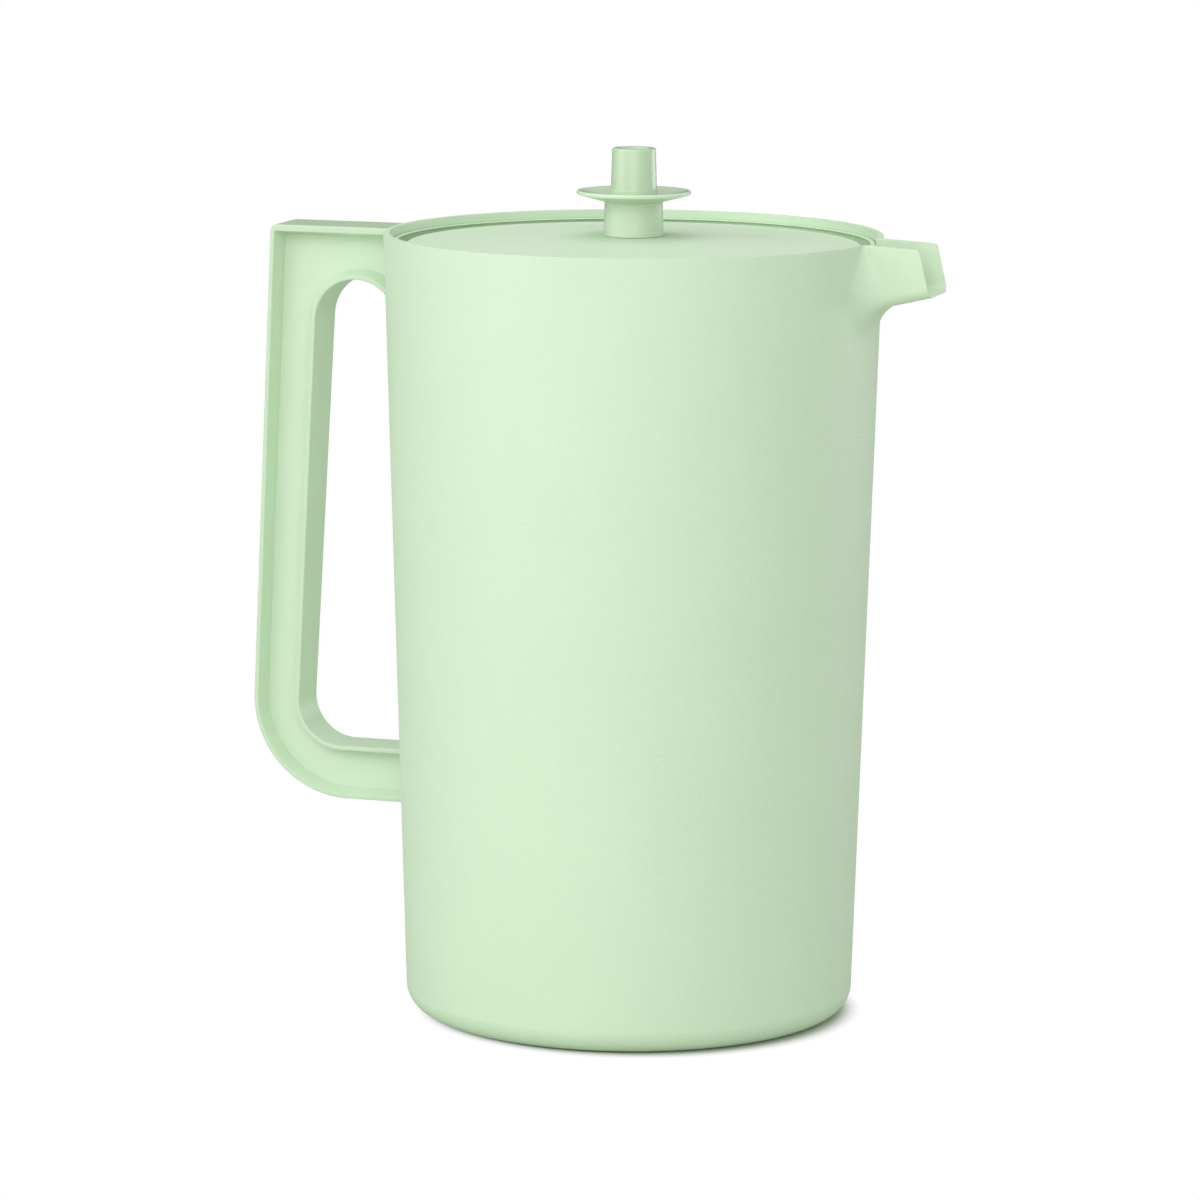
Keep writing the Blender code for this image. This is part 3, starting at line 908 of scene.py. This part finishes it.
# name, degrees round from the camera, degrees up, distance, width, height, power
lamps = [
    ("left panel", -70, 20, 1.6, 1.1, 1.0, studio["leftPower"]),
    ("front panel", 0, 20, 1.6, 1.1, 1.0, studio["frontPower"]),
    ("key panel", -35, 36, 1.6, 1.1, 1.0, studio["keyPower"]),
    ("top panel", 0, 88, 1.4, 1.3, 1.3, studio["topPower"]),
    ("edge strip", 126, 4, 1.4, 0.84, 0.32, studio["stripPower"]),
]


def addLamp(name, around, up, away, width, height, power):
    data = bpy.data.lights.new(name, "AREA")
    data.shape = "RECTANGLE"
    data.size = width
    data.size_y = height
    data.energy = power
    lamp = addObject(name, data)
    side = studio["cameraTurn"] + math.radians(around)
    rise = math.radians(up)
    out = Vector((math.sin(side) * math.cos(rise), -math.cos(side) * math.cos(rise), math.sin(rise)))
    lamp.location = Vector((0, 0, studio["aimHeight"])) + out * away
    lamp.rotation_mode = "QUATERNION"
    lamp.rotation_quaternion = out.to_track_quat("Z", "Y")


def addCamera():
    data = bpy.data.cameras.new("photo camera")
    data.sensor_width = studio["sensor"]
    data.lens = studio["lens"]
    data.clip_start = 0.05
    data.clip_end = 50
    camera = addObject("photo camera", data)
    away = Vector((0, -studio["cameraAway"], studio["cameraHeight"]))
    place = Matrix.Rotation(studio["cameraTurn"], 4, "Z") @ away
    turned = (Matrix.Rotation(studio["cameraTurn"] - studio["yaw"], 4, "Z")
              @ Matrix.Rotation(math.pi / 2 - studio["pitch"], 4, "X")
              @ Matrix.Rotation(studio["roll"], 4, "Z"))
    camera.matrix_world = Matrix.Translation(place) @ turned
    bpy.context.scene.camera = camera


def addProduct(nodes, links, first, second):
    product = nodes.new("ShaderNodeMath")
    product.operation = "MULTIPLY"
    links.new(first, product.inputs[0])
    links.new(second, product.inputs[1])
    return product.outputs["Value"]


def showMix(nodes, links, share, first, second, output):
    join = nodes.new("ShaderNodeMixShader")
    links.new(share, join.inputs["Fac"])
    links.new(first, join.inputs[1])
    links.new(second, join.inputs[2])
    links.new(join.outputs["Shader"], nodes[output].inputs["Surface"])


def floorMaterial():
    material = bpy.data.materials.new("pale floor")
    material.use_nodes = True
    nodes, links = material.node_tree.nodes, material.node_tree.links
    nodes.remove(nodes["Principled BSDF"])
    diffuse = nodes.new("ShaderNodeBsdfDiffuse")
    diffuse.inputs["Color"].default_value = ground["color"]
    white = nodes.new("ShaderNodeEmission")
    path = nodes.new("ShaderNodeLightPath")
    where = nodes.new("ShaderNodeTexCoord")
    gradient = nodes.new("ShaderNodeVectorMath")
    gradient.operation = "DISTANCE"
    gradient.inputs[1].default_value = ground["shadowCentre"]
    links.new(where.outputs["Object"], gradient.inputs[0])
    fade = addRange(nodes, links, gradient.outputs["Value"], ground["shadowFade"], (0, 1))
    seen = addProduct(nodes, links, fade, path.outputs["Is Camera Ray"])
    showMix(nodes, links, seen, diffuse.outputs["BSDF"], white.outputs["Emission"], "Material Output")
    return material


def addFloor():
    bm = bmesh.new()
    bmesh.ops.create_circle(bm, cap_ends=True, segments=ground["segments"], radius=ground["radius"])
    floor = addMesh("floor", bm, [floorMaterial()])
    floor.location = (0, 0, -ground["drop"])


def addWorld():
    world = bpy.data.worlds.new("studio")
    bpy.context.scene.world = world
    world.use_nodes = True
    nodes, links = world.node_tree.nodes, world.node_tree.links
    level = nodes["Background"]
    level.inputs["Color"].default_value = (1, 1, 1, 1)
    where = nodes.new("ShaderNodeTexCoord")
    behind = nodes.new("ShaderNodeVectorMath")
    behind.operation = "DOT_PRODUCT"
    behind.inputs[1].default_value = (-math.sin(studio["cameraTurn"]), math.cos(studio["cameraTurn"]), 0)
    links.new(where.outputs["Generated"], behind.inputs[0])
    side = addRange(nodes, links, behind.outputs["Value"], studio["lowTurn"], (0, 1))
    parts = nodes.new("ShaderNodeSeparateXYZ")
    links.new(where.outputs["Generated"], parts.inputs[0])
    low = addRange(nodes, links, parts.outputs["Z"], studio["lowRise"], (1, 0))
    both = addProduct(nodes, links, side, low)
    strength = addRange(nodes, links, both, (0, 1), (studio["worldLevel"], studio["worldLow"]))
    links.new(strength, level.inputs["Strength"])
    white = nodes.new("ShaderNodeBackground")
    white.inputs["Color"].default_value = (1, 1, 1, 1)
    path = nodes.new("ShaderNodeLightPath")
    showMix(nodes, links, path.outputs["Is Camera Ray"], level.outputs["Background"],
            white.outputs["Background"], "World Output")


addFloor()
addWorld()
for lamp in lamps:
    addLamp(*lamp)
addCamera()
bpy.context.scene.view_settings.view_transform = "Standard"
print("studio ready")
